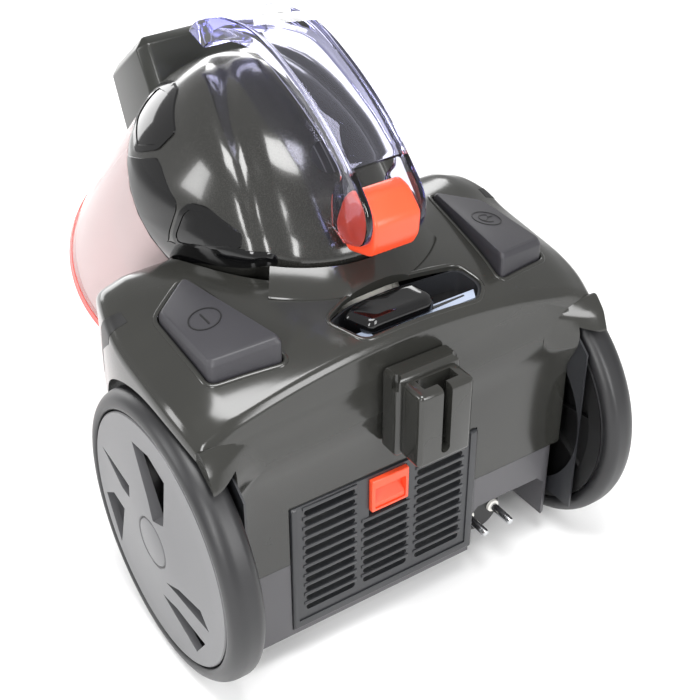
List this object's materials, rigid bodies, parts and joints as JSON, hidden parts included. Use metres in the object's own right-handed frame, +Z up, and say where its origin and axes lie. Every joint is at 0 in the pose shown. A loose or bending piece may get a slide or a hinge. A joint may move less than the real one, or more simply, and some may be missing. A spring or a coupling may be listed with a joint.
{
  "type": "canister vacuum cleaner",
  "caption": "Bagless canister vacuum cleaner with a tilted cyclone bin, clear carry handle, large side wheels, foot pedals and a rear exhaust grille.",
  "frame": {"origin": "on the floor under the middle of the cleaner, at the centre of its box in plan", "axes": "+Z up; +Y to the rear, towards the exhaust grille; +X to the side with the power pedal, along the wheel axle"},
  "size_m": [0.2806, 0.3696, 0.324],
  "materials": {
    "graphite_gloss": "graphite gloss moulded plastic",
    "chassis_grey": "mid grey satin plastic",
    "grille_grey": "dark grey satin plastic",
    "signal_orange": "orange moulded plastic",
    "pedal_black": "black spark-textured plastic",
    "knob_black": "black gloss plastic",
    "tyre_grey": "dark soft tread",
    "rim_silver": "silver-grey satin plastic",
    "dome_graphite": "graphite gloss plastic with fine flake",
    "spout_grey": "olive-grey satin plastic",
    "clear_plastic": "clear polycarbonate",
    "flap_red": "red moulded plastic",
    "shroud_grey": "light grey plastic",
    "inner_black": "black inner plastic",
    "steel": "steel",
    "seal_rubber": "black seal rubber",
    "filter_white": "white filter fleece",
    "board_green": "green circuit board"
  },
  "bodies": {
    "chassis": {"base_chassis": "chassis_grey", "upper_housing": "graphite_gloss", "parking_socket": "grille_grey", "exhaust_filter": "filter_white", "power_spring": "steel", "rewind_spring": "steel", "slider_tray": "knob_black", "control_board": "board_green", "power_bracket": "inner_black", "rewind_bracket": "inner_black", "power_switch": "inner_black", "motor_housing": "inner_black", "fan_motor": "inner_black", "motor_mount": "seal_rubber", "reel_axle": "steel", "outlet_seal": "seal_rubber", "motor_filter": "filter_white", "left_axle": "steel", "right_axle": "steel", "mains_plug": "knob_black", "plug_pin_left": "steel", "plug_pin_right": "steel"},
    "power_pedal": {"power_pedal": "pedal_black"},
    "rewind_pedal": {"rewind_pedal": "pedal_black"},
    "power_slider": {"power_slider": "knob_black"},
    "grille": {"rear_grille": "grille_grey"},
    "latch": {"grille_latch": "signal_orange"},
    "fan": {"motor_shaft": "steel", "motor_fan": "inner_black"},
    "reel": {"cord_reel": "inner_black", "wound_cord": "inner_black"},
    "left_wheel": {"left_tyre": "tyre_grey", "left_rim": "rim_silver", "left_hub_cap": "rim_silver"},
    "right_wheel": {"right_tyre": "tyre_grey", "right_rim": "rim_silver", "right_hub_cap": "rim_silver"},
    "caster_swivel": {"caster_fork": "inner_black", "caster_axle": "steel"},
    "caster_wheel": {"caster_wheel": "tyre_grey"},
    "bin": {"bin_cup": "clear_plastic", "lid_gasket": "seal_rubber", "cyclone_shroud": "shroud_grey", "cyclone_cone": "flap_red", "dome_lid": "dome_graphite", "inlet_spout": "spout_grey", "hose_collar": "spout_grey", "carry_handle": "clear_plastic"},
    "bin_flap": {"bin_flap": "flap_red"},
    "release_button": {"release_button": "signal_orange"}
  },
  "joints": [
    {"name": "left_wheel_spin", "type": "hinge", "parent": "chassis", "child": "left_wheel", "pos_m": [0.1265, 0.09875, 0.086], "axis": [1, 0, 0], "continuous": true},
    {"name": "right_wheel_spin", "type": "hinge", "parent": "chassis", "child": "right_wheel", "pos_m": [-0.1265, 0.09875, 0.086], "axis": [1, 0, 0], "continuous": true},
    {"name": "caster_swivel", "type": "hinge", "parent": "chassis", "child": "caster_swivel", "pos_m": [0, -0.12325, 0.03], "axis": [0, 0, 1], "continuous": true},
    {"name": "caster_wheel_spin", "type": "hinge", "parent": "caster_swivel", "child": "caster_wheel", "pos_m": [0, -0.11325, 0.014], "axis": [1, 0, 0], "continuous": true},
    {"name": "power_pedal_press", "type": "slide", "parent": "chassis", "child": "power_pedal", "axis": [0, 0, -1], "range_m": [0, 0.004], "stiffness_N_per_m": 1500, "springref_m": -0.002, "deforming": ["power_spring"]},
    {"name": "rewind_pedal_press", "type": "slide", "parent": "chassis", "child": "rewind_pedal", "axis": [0, 0, -1], "range_m": [0, 0.004], "stiffness_N_per_m": 1500, "springref_m": -0.002, "deforming": ["rewind_spring"]},
    {"name": "power_slider_slide", "type": "slide", "parent": "chassis", "child": "power_slider", "axis": [-1, 0, 0], "range_m": [0, 0.024]},
    {"name": "grille_hinge", "type": "hinge", "parent": "chassis", "child": "grille", "pos_m": [0.016, 0.14475, 0.023], "axis": [-1, 0, 0], "range_deg": [0, 60]},
    {"name": "latch_press", "type": "slide", "parent": "grille", "child": "latch", "axis": [0, 0, -1], "range_m": [0, 0.004], "stiffness_N_per_m": 500, "springref_m": -0.002},
    {"name": "fan_spin", "type": "hinge", "parent": "chassis", "child": "fan", "pos_m": [0.038, 0.09875, 0.088], "axis": [0, 1, 0], "continuous": true},
    {"name": "reel_spin", "type": "hinge", "parent": "chassis", "child": "reel", "pos_m": [-0.0725, 0.08375, 0.1], "axis": [1, 0, 0], "continuous": true},
    {"name": "bin_lift", "type": "slide", "parent": "chassis", "child": "bin", "axis": [0, 0, 1], "range_m": [0, 0.15]},
    {"name": "bin_flap_hinge", "type": "hinge", "parent": "bin", "child": "bin_flap", "pos_m": [0, -0.0705, 0.04916], "axis": [1, 0, 0], "range_deg": [0, 30]},
    {"name": "release_button_press", "type": "slide", "parent": "bin", "child": "release_button", "axis": [0, -0.766, -0.6428], "range_m": [0, 0.003], "stiffness_N_per_m": 500, "springref_m": -0.002}
  ]
}
